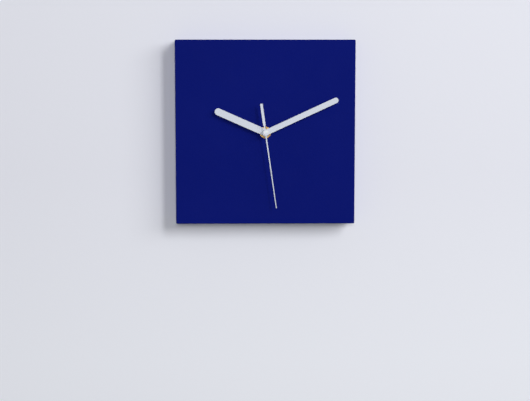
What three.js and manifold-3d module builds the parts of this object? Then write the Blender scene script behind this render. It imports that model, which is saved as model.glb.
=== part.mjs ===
// A square wall clock: a painted wooden block with a quartz movement let into its back.
// Millimetres, +Z up. The front faces -Y, and the back plane y = 0 lies on the wall.
// The origin is the point of the back plane where the wall screw carries the clock.
// Most pieces are laid out about the hand shaft: x and z from its axis, y from the wall.

import * as THREE from "three";
import { mergeVertices } from "three/addons/utils/BufferGeometryUtils.js";
import Module from "manifold-3d";

const wasm = await Module();
wasm.setup();

const TAU = Math.PI * 2;
const DEGREE = Math.PI / 180;

// ---- Driving dimensions ----

// The block.
const CASE_WIDTH = 200;
const CASE_HEIGHT = 205;
const CASE_DEPTH = 30;
const CASE_CORNER = 1.4;
const CASE_EDGE = 1;
const FACE_THICKNESS = 6;
const POCKET_SIZE = 60;
const POCKET_CORNER = 1;
const BUSH_HOLE = 4.3;

// The keyhole hanger, level with the origin.
const HANGING_HEIGHT = 72; // of the wall screw above the hand shaft
const HANGER_WIDTH = 44;
const HANGER_LOW = -15; // lower edge of the plate, below the wall screw
const HANGER_HIGH = 9;
const HANGER_PLATE = 1.2;
const HANGER_RECESS = 3.4;
const HANGER_CORNER = 2;
const HANGER_FIT = 0.3; // between the plate and the sides of its recess
const KEYHOLE_SLOT = 5;
const KEYHOLE_ENTRY = 10;
const KEYHOLE_DROP = 8; // from the top of the slot down to the middle of the entry
const KEYHOLE_CAVITY = 8; // depth behind the plate, for the wall screw's head
const CAVITY_WIDTH = 14;
const CAVITY_HEIGHT = 22;
const CAVITY_CORNER = 5;
const HANGER_SCREW_SPACING = 32;
const HANGER_SCREW_LENGTH = 12;
const HANGER_SCREW_HOLE = 14; // deep, from the back plane

// The movement: a moulded case of two halves around the gear train and the cell.
const MOVEMENT_SIZE = 56;
const MOVEMENT_DEPTH = 16;
const MOVEMENT_WALL = 1.2;
const MOVEMENT_FRONT = -22.8;
const CASE_SPLIT = 9; // from the movement's front to the joint of its two halves
const DIVIDER_LOW = -12; // wall between the cell and the gear train
const DIVIDER_HIGH = -11;
const CELL_RADIUS = 7.25;
const CELL_LENGTH = 50.5;

// The hands, from the shaft to their tips.
const HOUR_LENGTH = 61;
const HOUR_WIDTH = 7.7;
const MINUTE_LENGTH = 88.5;
const MINUTE_WIDTH = 6.1;
const SECOND_LENGTH = 84.7;
const SECOND_WIDTH = 1.5;
const SECOND_TAIL = 32.5;
const SECOND_TAIL_WIDTH = 2.9;
const SECOND_TAIL_START = 8.5;
const HOUR_ANGLE = 293.9; // clockwise from the top
const MINUTE_ANGLE = 65.3;
const SECOND_ANGLE = 171.8;

// Clearances.
const REST_GAP = 0.1; // between pieces that touch
const RUNNING_GAP = 0.1; // radial, round a turning shaft

// Roundness of the faceted solids.
const FINE = 32;
const ROUND = 24;
const SMALL = 12;

// ---- Gear train ----
// Twelve turns of the minute hand turn the hour hand once, and sixty turns of the second
// hand turn the minute hand once. The two arbors of a back-geared pair share one distance.

const TOOTH = { addendum: 0.95, dedendum: 1.2, rootHalf: 0.34, tipHalf: 0.12 };
const LEAF = { addendum: 0.9, dedendum: 1.2, rootHalf: 0.32, tipHalf: 0.11 };

const CANNON_LEAVES = 10;
const MOTION_TEETH = 30;
const MOTION_LEAVES = 8;
const HOUR_TEETH = 32;
const SET_TEETH = 15;
const CENTRE_TEETH = 64;
const THIRD_LEAVES = 8;
const THIRD_TEETH = 60;
const SECONDS_LEAVES = 8;
const SECONDS_TEETH = 48;
const STEP_LEAVES = 8;
const STEP_TEETH = 50;
const ROTOR_LEAVES = 10;

const MOTION_MODULE = 0.4;
const CENTRE_MODULE = 0.25;
const THIRD_MODULE = (CENTRE_MODULE * (CENTRE_TEETH + THIRD_LEAVES)) / (THIRD_TEETH + SECONDS_LEAVES);
const SECONDS_MODULE = 0.27;
const STEP_MODULE = 0.25;

// Directions from one arbor to the next, anticlockwise from +X as seen from the front.
const TO_MOTION = 20 * DEGREE;
const TO_SETTER = 0;
const TO_THIRD = 135 * DEGREE;
const TO_STEP = 60 * DEGREE;
const TO_ROTOR = 30 * DEGREE;

function beyond(from, direction, module, teeth) {
  const distance = (module * teeth) / 2;
  return {
    x: from.x + distance * Math.cos(direction),
    z: from.z + distance * Math.sin(direction),
  };
}

const SHAFT = { x: 0, z: 0 };
const MOTION = beyond(SHAFT, TO_MOTION, MOTION_MODULE, CANNON_LEAVES + MOTION_TEETH);
const SETTER = beyond(MOTION, TO_SETTER, MOTION_MODULE, MOTION_TEETH + SET_TEETH);
const THIRD = beyond(SHAFT, TO_THIRD, CENTRE_MODULE, CENTRE_TEETH + THIRD_LEAVES);
const STEP = beyond(SHAFT, TO_STEP, SECONDS_MODULE, SECONDS_TEETH + STEP_LEAVES);
const ROTOR = beyond(STEP, TO_ROTOR, STEP_MODULE, STEP_TEETH + ROTOR_LEAVES);

// The phase that meshes a second wheel with a first one, given the direction between them.
function meshed(phase, teeth, direction, otherTeeth) {
  const offset = ((direction - phase) * teeth) / TAU;
  return direction + Math.PI - ((0.5 - offset) * TAU) / otherTeeth;
}

// Layers of the movement, measured back from its front face: each [front, back].
const HOUR_LAYER = [1.5, 2.5];
const MOTION_LAYER = [2.9, 3.7];
const CENTRE_LAYER = [4.1, 4.8];
const THIRD_LAYER = [5.2, 5.9];
const BRIDGE_LAYER = [6.3, 7.1];
const SECONDS_LAYER = [7.5, 8.3];
const STEP_LAYER = [8.7, 9.5];
const MAGNET_LAYER = [10.1, 12.1];
const STATOR_LAYER = [10.7, 11.5];
const CORE_LAYER = [11.6, 12.4];
const BOARD_LAYER = [10.5, 11.5];
const REAR_PLATE = MOVEMENT_DEPTH - MOVEMENT_WALL;

// Tubes and arbors of the hand shaft.
const BUSH_RADIUS = 4;
const BUSH_BORE = 2.65;
const HOUR_TUBE = 2.5;
const HOUR_BORE = 1.95;
const CANNON_TUBE = 1.8;
const CANNON_BORE = 0.7;
const CANNON_NECK = 1.25;
const ARBOR = 0.5;

// ---- Solids ----

// A closed geometry as a solid that can be joined and cut.
function solidFrom(geometry) {
  const bare = geometry.index ? geometry.toNonIndexed() : geometry.clone();
  bare.deleteAttribute("normal");
  bare.deleteAttribute("uv");
  const merged = mergeVertices(bare, 1e-4);
  return new wasm.Manifold(
    new wasm.Mesh({
      numProp: 3,
      vertProperties: merged.attributes.position.array,
      triVerts: new Uint32Array(merged.index.array),
    }),
  );
}

function joined(first, ...others) {
  return others.reduce((solid, other) => solid.add(other), first);
}

function cut(first, ...others) {
  return others.reduce((solid, other) => solid.subtract(other), first);
}

// An outline in x and z, as seen from the front, made solid between two depths.
function slab(shape, front, back, curveSegments = SMALL) {
  const depth = back - front;
  const geometry = new THREE.ExtrudeGeometry(shape, { depth, bevelEnabled: false, curveSegments });
  geometry.rotateX(Math.PI / 2);
  geometry.translate(0, back, 0);
  return solidFrom(geometry);
}

// A round bar along Y.
function rod(radius, front, back, at = SHAFT, segments = ROUND) {
  const geometry = new THREE.CylinderGeometry(radius, radius, back - front, segments);
  geometry.translate(at.x, (front + back) / 2, at.z);
  return solidFrom(geometry);
}

function tube(radius, bore, front, back, at = SHAFT, segments = ROUND) {
  return cut(rod(radius, front, back, at, segments), rod(bore, front - 1, back + 1, at, segments));
}

// A rectangular bar between two corners.
function bar(x0, x1, y0, y1, z0, z1) {
  const geometry = new THREE.BoxGeometry(x1 - x0, y1 - y0, z1 - z0);
  geometry.translate((x0 + x1) / 2, (y0 + y1) / 2, (z0 + z1) / 2);
  return solidFrom(geometry);
}

// A turned solid round Y. The profile is [radius, y] from its front end to its back end.
function turned(profile, at = SHAFT, segments = ROUND) {
  const points = profile.map(([radius, y]) => new THREE.Vector2(radius, y));
  const geometry = new THREE.LatheGeometry(points, segments);
  geometry.translate(at.x, 0, at.z);
  return solidFrom(geometry);
}

// ---- Outlines ----

function roundedRectangle(width, height, radius, middle = SHAFT) {
  const left = middle.x - width / 2;
  const right = middle.x + width / 2;
  const low = middle.z - height / 2;
  const high = middle.z + height / 2;
  const shape = new THREE.Shape();
  shape.moveTo(left + radius, low);
  shape.absarc(right - radius, low + radius, radius, -Math.PI / 2, 0);
  shape.absarc(right - radius, high - radius, radius, 0, Math.PI / 2);
  shape.absarc(left + radius, high - radius, radius, Math.PI / 2, Math.PI);
  shape.absarc(left + radius, low + radius, radius, Math.PI, Math.PI * 1.5);
  shape.closePath();
  return shape;
}

function gearOutline(teeth, module, phase, form) {
  const pitchRadius = (module * teeth) / 2;
  const root = pitchRadius - form.dedendum * module;
  const tip = pitchRadius + form.addendum * module;
  const pitch = TAU / teeth;
  const tooth = [
    [root, -form.rootHalf],
    [tip, -form.tipHalf],
    [tip, form.tipHalf],
    [root, form.rootHalf],
  ];
  const points = [];
  for (let i = 0; i < teeth; i++) {
    for (const [radius, side] of tooth) {
      const angle = phase + (i + side) * pitch;
      points.push(new THREE.Vector2(radius * Math.cos(angle), radius * Math.sin(angle)));
    }
  }
  return new THREE.Shape(points);
}

function gear(teeth, module, phase, form, [front, back]) {
  return slab(gearOutline(teeth, module, phase, form), depthOf(front), depthOf(back));
}

// A bar with two round ends, drawn upwards from the shaft.
function baton(width, length, hub) {
  const half = width / 2;
  const edge = Math.asin(half / hub);
  const shape = new THREE.Shape();
  shape.absarc(0, 0, hub, Math.PI / 2 + edge, Math.PI * 2.5 - edge);
  shape.absarc(0, length - half, half, 0, Math.PI);
  shape.closePath();
  return shape;
}

// ---- The model ----

// y of a plane inside the movement, measured back from its front face.
function depthOf(distance) {
  return MOVEMENT_FRONT + distance;
}

function finish(color, roughness, metalness = 0) {
  return { color, roughness, metalness };
}

const PAINT = finish(0x14208f, 0.6);
const HAND_PAINT = finish(0xe9ecf0, 0.45);
const BRASS = finish(0xb08d4a, 0.3, 1);
const STEEL = finish(0xb9bcc0, 0.35, 1);
const RUBBER = finish(0x1c1c1e, 0.85);
const BLACK_PLASTIC = finish(0x202124, 0.5);
const GEAR_PLASTIC = finish(0xe7e2d3, 0.5);
const COPPER = finish(0xb4562b, 0.35, 1);

const clock = new THREE.Group();
const works = new THREE.Group();
works.position.set(0, 0, -HANGING_HEIGHT);
clock.add(works);

function piece(name, solid, looks, at = SHAFT) {
  const { vertProperties, numProp, triVerts } = solid.getMesh();
  const geometry = new THREE.BufferGeometry();
  const position = new Float32Array((vertProperties.length / numProp) * 3);
  for (let i = 0; i < position.length / 3; i++) {
    position.set(vertProperties.subarray(i * numProp, i * numProp + 3), i * 3);
  }
  geometry.setAttribute("position", new THREE.BufferAttribute(position, 3));
  geometry.setIndex(new THREE.BufferAttribute(triVerts, 1));
  geometry.computeVertexNormals();
  const mesh = new THREE.Mesh(geometry, new THREE.MeshStandardMaterial(looks));
  mesh.name = name;
  mesh.position.set(at.x, 0, at.z);
  works.add(mesh);
  return mesh;
}

// ---- Block and hanger ----

const FACE = -CASE_DEPTH;
const POCKET_FLOOR = FACE + FACE_THICKNESS;
const HANGER_FLOOR = -HANGER_RECESS;
const HANGER_MIDDLE = { x: 0, z: HANGING_HEIGHT + (HANGER_LOW + HANGER_HIGH) / 2 };
const HANGER_HEIGHT = HANGER_HIGH - HANGER_LOW;
const SCREW_HEIGHT = HANGING_HEIGHT - 3;
const SCREW_SHANK = 1.4;
const SCREW_HEAD = 2.8;

function hangerScrewPlaces() {
  return [-1, 1].map((side) => ({ x: (side * HANGER_SCREW_SPACING) / 2, z: SCREW_HEIGHT }));
}

function caseBody() {
  const outline = roundedRectangle(CASE_WIDTH, CASE_HEIGHT, CASE_CORNER);
  const geometry = new THREE.ExtrudeGeometry(outline, {
    depth: CASE_DEPTH - 2 * CASE_EDGE,
    bevelThickness: CASE_EDGE,
    bevelSize: CASE_EDGE,
    bevelOffset: -CASE_EDGE,
    bevelSegments: 3,
    curveSegments: 4,
  });
  geometry.rotateX(Math.PI / 2);
  geometry.translate(0, -CASE_EDGE, 0);
  const recess = roundedRectangle(
    HANGER_WIDTH + 2 * HANGER_FIT, HANGER_HEIGHT + 2 * HANGER_FIT, HANGER_CORNER + HANGER_FIT, HANGER_MIDDLE,
  );
  const cavityMiddle = { x: 0, z: HANGING_HEIGHT - KEYHOLE_DROP / 2 };
  const cavity = roundedRectangle(CAVITY_WIDTH, CAVITY_HEIGHT, CAVITY_CORNER, cavityMiddle);
  const shankHole = SCREW_SHANK + REST_GAP;
  return cut(
    solidFrom(geometry),
    slab(roundedRectangle(POCKET_SIZE, POCKET_SIZE, POCKET_CORNER), POCKET_FLOOR, 1, 6),
    rod(BUSH_HOLE, FACE - 1, POCKET_FLOOR + 1, SHAFT, FINE),
    slab(recess, HANGER_FLOOR, 1, 4),
    slab(cavity, HANGER_FLOOR - KEYHOLE_CAVITY, 1, 5),
    ...hangerScrewPlaces().map((at) => rod(shankHole, -HANGER_SCREW_HOLE, 0, at, SMALL)),
  );
}

function keyhole() {
  const slot = KEYHOLE_SLOT / 2;
  const entry = KEYHOLE_ENTRY / 2;
  const top = HANGING_HEIGHT;
  const angle = Math.asin(slot / entry);
  const shape = new THREE.Shape();
  shape.absarc(0, top - KEYHOLE_DROP, entry, Math.PI / 2 + angle, Math.PI * 2.5 - angle);
  shape.absarc(0, top, slot, 0, Math.PI);
  shape.closePath();
  return shape;
}

const PLATE_BACK = HANGER_FLOOR + REST_GAP + HANGER_PLATE;

function hangerPlate() {
  const front = HANGER_FLOOR + REST_GAP;
  return cut(
    slab(roundedRectangle(HANGER_WIDTH, HANGER_HEIGHT, HANGER_CORNER, HANGER_MIDDLE), front, PLATE_BACK, 4),
    slab(keyhole(), front - 1, PLATE_BACK + 1, 10),
    ...hangerScrewPlaces().map((at) => rod(SCREW_SHANK + 0.2, front - 1, PLATE_BACK + 1, at, SMALL)),
  );
}

// A pan-head wood screw with a cross recess, its head on the plate and its point forwards.
function hangerScrew(at) {
  const seat = PLATE_BACK + REST_GAP;
  const crown = seat + 1.5;
  const screw = turned(
    [
      [0, seat - HANGER_SCREW_LENGTH + 2],
      [SCREW_SHANK, seat - HANGER_SCREW_LENGTH + 4],
      [SCREW_SHANK, seat],
      [SCREW_HEAD, seat],
      [SCREW_HEAD, seat + 0.6],
      [SCREW_HEAD * 0.7, seat + 1.3],
      [0, crown],
    ],
    at,
    16,
  );
  const long = 1.5;
  const half = 0.3;
  return cut(
    screw,
    bar(at.x - long, at.x + long, crown - 0.9, crown + 1, at.z - half, at.z + half),
    bar(at.x - half, at.x + half, crown - 0.9, crown + 1, at.z - long, at.z + long),
  );
}

piece("case_body", caseBody(), PAINT);
piece("hanger_plate", hangerPlate(), STEEL);
hangerScrewPlaces().forEach((at, i) => {
  piece(["hanger_screw_left", "hanger_screw_right"][i], hangerScrew(at), STEEL);
});

// ---- Movement case ----

const HALF = MOVEMENT_SIZE / 2;
const INNER = HALF - MOVEMENT_WALL;
const CELL_MIDDLE = { x: 0, z: -INNER + 0.15 + CELL_RADIUS };
const BRIDGE_POSTS = [
  { x: -23.5, z: -6 },
  { x: -23.5, z: 23.5 },
  { x: 23.5, z: -6 },
  { x: 23.5, z: 23.5 },
];
const STATOR_POSTS = [
  { x: -20, z: 21.5 },
  { x: 20, z: 21.5 },
];
const BOARD_POSTS = [
  { x: -23, z: 5.5 },
  { x: -12, z: -7.5 },
];

function post(radius, front, back, at) {
  return rod(radius, depthOf(front), depthOf(back), at, SMALL);
}

function frontCover() {
  const shell = cut(
    slab(roundedRectangle(MOVEMENT_SIZE, MOVEMENT_SIZE, 2), depthOf(0), depthOf(CASE_SPLIT), 3),
    slab(roundedRectangle(2 * INNER, 2 * INNER, 1), depthOf(MOVEMENT_WALL), depthOf(CASE_SPLIT + 1), 2),
  );
  const inside = MOVEMENT_WALL - REST_GAP;
  return cut(
    joined(
      shell,
      post(1.2, inside, 3.4, THIRD),
      post(1.5, inside, 1.4, MOTION),
      post(0.6, inside, 3.85, MOTION),
      post(1.3, inside, 2.5, SETTER),
      ...BRIDGE_POSTS.map((at) => post(1.6, inside, BRIDGE_LAYER[0] - REST_GAP, at)),
      ...BRIDGE_POSTS.map((at) => post(0.8, inside, BRIDGE_LAYER[1] + 0.5, at)),
    ),
    rod(BUSH_RADIUS + REST_GAP, depthOf(-1), depthOf(MOVEMENT_WALL + 1), SHAFT, FINE),
    post(0.45, MOVEMENT_WALL, 4, THIRD),
    post(0.6, 1.4, 3, SETTER),
  );
}

function rearCover() {
  const split = CASE_SPLIT + 0.2;
  const openBack = MOVEMENT_DEPTH + 1;
  const cellBay = bar(-INNER, INNER, depthOf(0), depthOf(openBack), -INNER, DIVIDER_LOW);
  const chamber = bar(-INNER, INNER, depthOf(0), depthOf(REAR_PLATE), DIVIDER_HIGH, INNER);
  const shell = cut(
    slab(roundedRectangle(MOVEMENT_SIZE, MOVEMENT_SIZE, 2), depthOf(split), depthOf(MOVEMENT_DEPTH), 3),
    cellBay,
    chamber,
  );
  const divider = bar(
    -INNER + 0.2, INNER - 0.2, depthOf(MOVEMENT_WALL + 0.3), depthOf(split + 1), DIVIDER_LOW, DIVIDER_HIGH,
  );
  const inside = REAR_PLATE + REST_GAP;
  const clips = [-1, 1].flatMap((side) => [8, -24].map((low) => clip(side, low)));
  return cut(
    joined(
      shell,
      divider,
      ...clips,
      post(1.6, 10.6, inside, SHAFT),
      post(1.5, 10, inside, STEP),
      post(1.6, 12.6, inside, ROTOR),
      ...STATOR_POSTS.map((at) => post(1.8, CORE_LAYER[1] + REST_GAP, inside, at)),
      ...STATOR_POSTS.map((at) => post(0.8, STATOR_LAYER[0] - 0.3, inside, at)),
      ...BOARD_POSTS.map((at) => post(1.5, BOARD_LAYER[1] + REST_GAP, inside, at)),
      ...BOARD_POSTS.map((at) => post(0.7, BOARD_LAYER[0] - 0.4, inside, at)),
    ),
    post(0.6, 9, 12.4, SHAFT),
    post(0.45, 9, 11.4, STEP),
    post(0.4, 12, 13.8, ROTOR),
    post(1.2, 13, 17, SETTER),
    // Slots for the two contact strips, which pass from the cell to the train chamber.
    bar(25.8, INNER + 0.1, depthOf(10.2), depthOf(14.3), DIVIDER_LOW - 1, DIVIDER_HIGH + 1),
    bar(-INNER - 0.1, -25.8, depthOf(10.2), depthOf(14.3), DIVIDER_LOW - 1, DIVIDER_HIGH + 1),
  );
}

// A snap hook on the rear half that reaches forwards over the front half's side.
function clip(side, low) {
  const outline = new THREE.Shape();
  outline.moveTo(HALF - 0.6, 10);
  outline.lineTo(HALF + 0.25, 10);
  outline.lineTo(HALF + 0.25, 3.6);
  outline.lineTo(HALF + 1.1, 4.6);
  outline.lineTo(HALF + 1.1, 12.5);
  outline.lineTo(HALF - 0.6, 14);
  outline.closePath();
  const geometry = new THREE.ExtrudeGeometry(outline, { depth: 7, bevelEnabled: false });
  geometry.translate(0, MOVEMENT_FRONT, low);
  return side > 0 ? solidFrom(geometry) : solidFrom(geometry.rotateY(Math.PI).translate(0, 0, 2 * low + 7));
}

// The plate across the train chamber that carries the rear pivots of the front wheels and
// the front pivots of the rear ones.
function trainBridge() {
  const [front, back] = BRIDGE_LAYER.map(depthOf);
  const width = 2 * INNER - 0.6;
  const low = DIVIDER_HIGH + 0.3;
  const high = INNER - 0.3;
  const outline = roundedRectangle(width, high - low, 1.2, { x: 0, z: (low + high) / 2 });
  return cut(
    slab(outline, front, back, 2),
    rod(1.7, front - 1, back + 1),
    rod(0.45, front - 1, back + 1, THIRD, SMALL),
    rod(0.45, front - 1, back + 1, STEP, SMALL),
    rod(0.4, front - 1, back + 1, ROTOR, SMALL),
    rod(1.1, front - 1, back + 1, SETTER, SMALL),
    ...BRIDGE_POSTS.map((at) => rod(0.9, front - 1, back + 1, at, SMALL)),
  );
}

piece("movement_front_cover", frontCover(), BLACK_PLASTIC);
piece("movement_rear_cover", rearCover(), BLACK_PLASTIC);
piece("train_bridge", trainBridge(), finish(0xd9d6cc, 0.5));

// ---- Fixing of the movement to the face ----

const FLANGE_FRONT = POCKET_FLOOR + REST_GAP;
const BUSH_FRONT = FACE - 4;
const WASHER_BACK = FACE - REST_GAP;
const WASHER_FRONT = WASHER_BACK - 0.6;
const NUT_BACK = WASHER_FRONT - REST_GAP;
const NUT_FRONT = NUT_BACK - 1.9;
const THREAD_PITCH = 0.4;
const THREAD_DEPTH = 0.2;

// A brass bush with a flange behind the face and a fine thread in front of the nut.
function threadedBush() {
  const profile = [[BUSH_BORE, BUSH_FRONT]];
  for (let y = BUSH_FRONT; y < NUT_FRONT - THREAD_PITCH; y += THREAD_PITCH) {
    profile.push([BUSH_RADIUS - THREAD_DEPTH, y]);
    profile.push([BUSH_RADIUS, y + THREAD_PITCH / 2]);
  }
  profile.push([BUSH_RADIUS, FLANGE_FRONT]);
  profile.push([6, FLANGE_FRONT]);
  profile.push([6, MOVEMENT_FRONT - REST_GAP]);
  profile.push([BUSH_RADIUS, MOVEMENT_FRONT - REST_GAP]);
  profile.push([BUSH_RADIUS, depthOf(1.1)]);
  profile.push([BUSH_BORE, depthOf(1.1)]);
  profile.push([BUSH_BORE, BUSH_FRONT]);
  return turned(profile, SHAFT, FINE);
}

function rubberGasket() {
  const front = POCKET_FLOOR + REST_GAP;
  const back = MOVEMENT_FRONT - REST_GAP;
  return cut(slab(roundedRectangle(40, 40, 6), front, back, 4), rod(6.4, front - 1, back + 1, SHAFT, FINE));
}

function hexNut() {
  const corners = [];
  for (let i = 0; i < 6; i++) {
    const angle = ((i + 0.5) * TAU) / 6;
    corners.push(new THREE.Vector2(5.9 * Math.cos(angle), 5.9 * Math.sin(angle)));
  }
  const hexagon = slab(new THREE.Shape(corners), NUT_FRONT, NUT_BACK);
  const chamfer = turned(
    [
      [0, NUT_FRONT],
      [5.3, NUT_FRONT],
      [5.95, NUT_FRONT + 0.5],
      [5.95, NUT_BACK + 0.1],
      [0, NUT_BACK + 0.1],
    ],
    SHAFT,
    36,
  );
  return cut(hexagon.intersect(chamfer), rod(BUSH_RADIUS + 0.08, NUT_FRONT - 1, NUT_BACK + 1, SHAFT, FINE));
}

piece("threaded_bush", threadedBush(), BRASS);
piece("rubber_gasket", rubberGasket(), RUBBER);
piece("brass_washer", tube(6.5, BUSH_RADIUS + 0.15, WASHER_FRONT, WASHER_BACK, SHAFT, FINE), BRASS);
piece("hex_nut", hexNut(), BRASS);

// ---- Hands ----

const HOUR_HAND = [-36.1, -35.6];
const MINUTE_HAND = [-38.8, -38.3];
const SECOND_HAND = [-41.1, -40.8];
const HOUR_TUBE_FRONT = HOUR_HAND[0] - 0.4;
const CANNON_FRONT = MINUTE_HAND[0] - 0.4;
const ARBOR_FRONT = -41.7;
const CAP_FRONT = -42.3;
const PRESS_GAP = 0.05; // radial, where a hand is pushed on to its tube

function pointedAt(mesh, angle) {
  mesh.rotation.y = angle * DEGREE;
  return mesh;
}

function batonHand(width, length, hub, tubeRadius, [front, back], collet) {
  const outline = baton(width, length, hub);
  return cut(
    joined(slab(outline, front, back, 10), rod(hub * 0.86, front + 0.2, back + collet)),
    rod(tubeRadius + PRESS_GAP, front - 1, back + collet + 1),
  );
}

// A needle with a counterweight bar behind the hub, joined to it by a tapering neck.
function secondHand() {
  const [front, back] = SECOND_HAND;
  const needle = SECOND_WIDTH / 2;
  const tail = SECOND_TAIL_WIDTH / 2;
  const outline = new THREE.Shape();
  outline.moveTo(-tail, -SECOND_TAIL);
  outline.lineTo(tail, -SECOND_TAIL);
  outline.lineTo(tail, -SECOND_TAIL_START - 1);
  outline.lineTo(needle * 0.8, -SECOND_TAIL_START + 2);
  outline.lineTo(needle, 0);
  outline.absarc(0, SECOND_LENGTH - needle * 0.6, needle * 0.6, 0, Math.PI);
  outline.lineTo(-needle, 0);
  outline.lineTo(-needle * 0.8, -SECOND_TAIL_START + 2);
  outline.lineTo(-tail, -SECOND_TAIL_START - 1);
  outline.closePath();
  return cut(joined(slab(outline, front, back, 4), rod(2.6, front, back)), rod(1.3, front - 1, back + 1));
}

// The cap that presses the second hand on to its arbor.
function secondHandCap() {
  const [front, back] = SECOND_HAND;
  return cut(
    turned([
      [0, CAP_FRONT],
      [2.9, CAP_FRONT],
      [3.5, CAP_FRONT + 0.4],
      [3.5, front - REST_GAP],
      [1.2, front - REST_GAP],
      [1.2, back + 0.8],
      [0, back + 0.8],
    ]),
    rod(ARBOR + PRESS_GAP, ARBOR_FRONT - 0.1, back + 2, SHAFT, SMALL),
  );
}

const hourHand = batonHand(HOUR_WIDTH, HOUR_LENGTH, 4.3, HOUR_TUBE, HOUR_HAND, 1.1);
const minuteHand = batonHand(MINUTE_WIDTH, MINUTE_LENGTH, 3.6, CANNON_TUBE, MINUTE_HAND, 1.1);
pointedAt(piece("hour_hand", hourHand, HAND_PAINT), HOUR_ANGLE);
pointedAt(piece("minute_hand", minuteHand, HAND_PAINT), MINUTE_ANGLE);
pointedAt(piece("second_hand", secondHand(), HAND_PAINT), SECOND_ANGLE);
piece("second_hand_cap", secondHandCap(), HAND_PAINT);

// ---- Motion work: minute hand to hour hand, and the setter ----

const CANNON_PHASE = 0;
const MOTION_WHEEL_PHASE = meshed(CANNON_PHASE, CANNON_LEAVES, TO_MOTION, MOTION_TEETH);
const MOTION_PINION_PHASE = 0;
const HOUR_PHASE = meshed(MOTION_PINION_PHASE, MOTION_LEAVES, TO_MOTION + Math.PI, HOUR_TEETH);
const SET_PHASE = meshed(MOTION_WHEEL_PHASE, MOTION_TEETH, TO_SETTER, SET_TEETH);

function hourWheel() {
  return cut(
    joined(
      gear(HOUR_TEETH, MOTION_MODULE, HOUR_PHASE, TOOTH, HOUR_LAYER),
      rod(HOUR_TUBE, HOUR_TUBE_FRONT, depthOf(HOUR_LAYER[1])),
    ),
    rod(HOUR_BORE, HOUR_TUBE_FRONT - 1, depthOf(HOUR_LAYER[1] + 1)),
  );
}

function minuteCannon() {
  const [pinionFront, pinionBack] = MOTION_LAYER;
  return cut(
    joined(
      gear(CANNON_LEAVES, MOTION_MODULE, CANNON_PHASE, LEAF, [pinionFront - 0.2, pinionBack]),
      rod(CANNON_TUBE, CANNON_FRONT, depthOf(pinionFront - 0.1)),
      rod(CANNON_NECK, depthOf(pinionFront), depthOf(CENTRE_LAYER[1] + 0.2)),
    ),
    rod(CANNON_BORE, CANNON_FRONT - 1, depthOf(CENTRE_LAYER[1] + 1)),
  );
}

function motionWheel() {
  return cut(
    joined(
      gear(MOTION_TEETH, MOTION_MODULE, MOTION_WHEEL_PHASE, TOOTH, MOTION_LAYER),
      gear(MOTION_LEAVES, MOTION_MODULE, MOTION_PINION_PHASE, LEAF, [HOUR_LAYER[0], MOTION_LAYER[0] + 0.1]),
    ),
    rod(0.6 + RUNNING_GAP, depthOf(0), depthOf(6), SHAFT, SMALL),
  );
}

const KNOB_BACK = -3.2;
const SET_SHAFT = 1;

function setWheel() {
  return joined(
    gear(SET_TEETH, MOTION_MODULE, SET_PHASE, TOOTH, MOTION_LAYER),
    rod(0.5, depthOf(1.6), depthOf(MOTION_LAYER[0] + 0.1), SHAFT, SMALL),
    rod(SET_SHAFT, depthOf(MOTION_LAYER[0]), KNOB_BACK - 0.8, SHAFT, SMALL),
  );
}

// The ribbed knob on the back that sets the hands.
function setKnob() {
  const ribs = 20;
  const front = depthOf(MOVEMENT_DEPTH + 0.3);
  const rib = { addendum: 0.4, dedendum: 0.5, rootHalf: 0.3, tipHalf: 0.15 };
  const grip = slab(gearOutline(ribs, 0.52, 0, rib), front, KNOB_BACK);
  return cut(grip, rod(SET_SHAFT + PRESS_GAP, front - 1, KNOB_BACK - 0.7, SHAFT, SMALL));
}

piece("hour_wheel", hourWheel(), GEAR_PLASTIC);
piece("minute_cannon", minuteCannon(), finish(0xf0ede4, 0.45));
piece("motion_wheel", motionWheel(), GEAR_PLASTIC, MOTION);
piece("set_wheel", setWheel(), GEAR_PLASTIC, SETTER);
piece("set_knob", setKnob(), BLACK_PLASTIC, SETTER);

// ---- Running train: rotor to minute cannon ----

const CENTRE_PHASE = 0;
const THIRD_PINION_PHASE = meshed(CENTRE_PHASE, CENTRE_TEETH, TO_THIRD, THIRD_LEAVES);
const THIRD_WHEEL_PHASE = 0;
const SECONDS_PINION_PHASE = meshed(THIRD_WHEEL_PHASE, THIRD_TEETH, TO_THIRD + Math.PI, SECONDS_LEAVES);
const SECONDS_WHEEL_PHASE = 0;
const STEP_PINION_PHASE = meshed(SECONDS_WHEEL_PHASE, SECONDS_TEETH, TO_STEP, STEP_LEAVES);
const STEP_WHEEL_PHASE = 0;
const ROTOR_PHASE = meshed(STEP_WHEEL_PHASE, STEP_TEETH, TO_ROTOR, ROTOR_LEAVES);

function centreWheel() {
  return cut(
    gear(CENTRE_TEETH, CENTRE_MODULE, CENTRE_PHASE, TOOTH, CENTRE_LAYER),
    rod(CANNON_NECK + PRESS_GAP, depthOf(CENTRE_LAYER[0] - 1), depthOf(CENTRE_LAYER[1] + 1)),
  );
}

function thirdWheel() {
  return joined(
    gear(THIRD_TEETH, THIRD_MODULE, THIRD_WHEEL_PHASE, TOOTH, THIRD_LAYER),
    gear(THIRD_LEAVES, CENTRE_MODULE, THIRD_PINION_PHASE, LEAF, [CENTRE_LAYER[0] - 0.2, THIRD_LAYER[0] + 0.1]),
    rod(0.35, depthOf(2), depthOf(BRIDGE_LAYER[1] - 0.1), SHAFT, SMALL),
  );
}

function secondsWheel() {
  return cut(
    joined(
      gear(SECONDS_TEETH, SECONDS_MODULE, SECONDS_WHEEL_PHASE, TOOTH, SECONDS_LAYER),
      gear(
        SECONDS_LEAVES, THIRD_MODULE, SECONDS_PINION_PHASE, LEAF, [THIRD_LAYER[0] - 0.1, SECONDS_LAYER[0] + 0.1],
      ),
    ),
    rod(ARBOR + PRESS_GAP, depthOf(4), depthOf(10), SHAFT, SMALL),
  );
}

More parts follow.
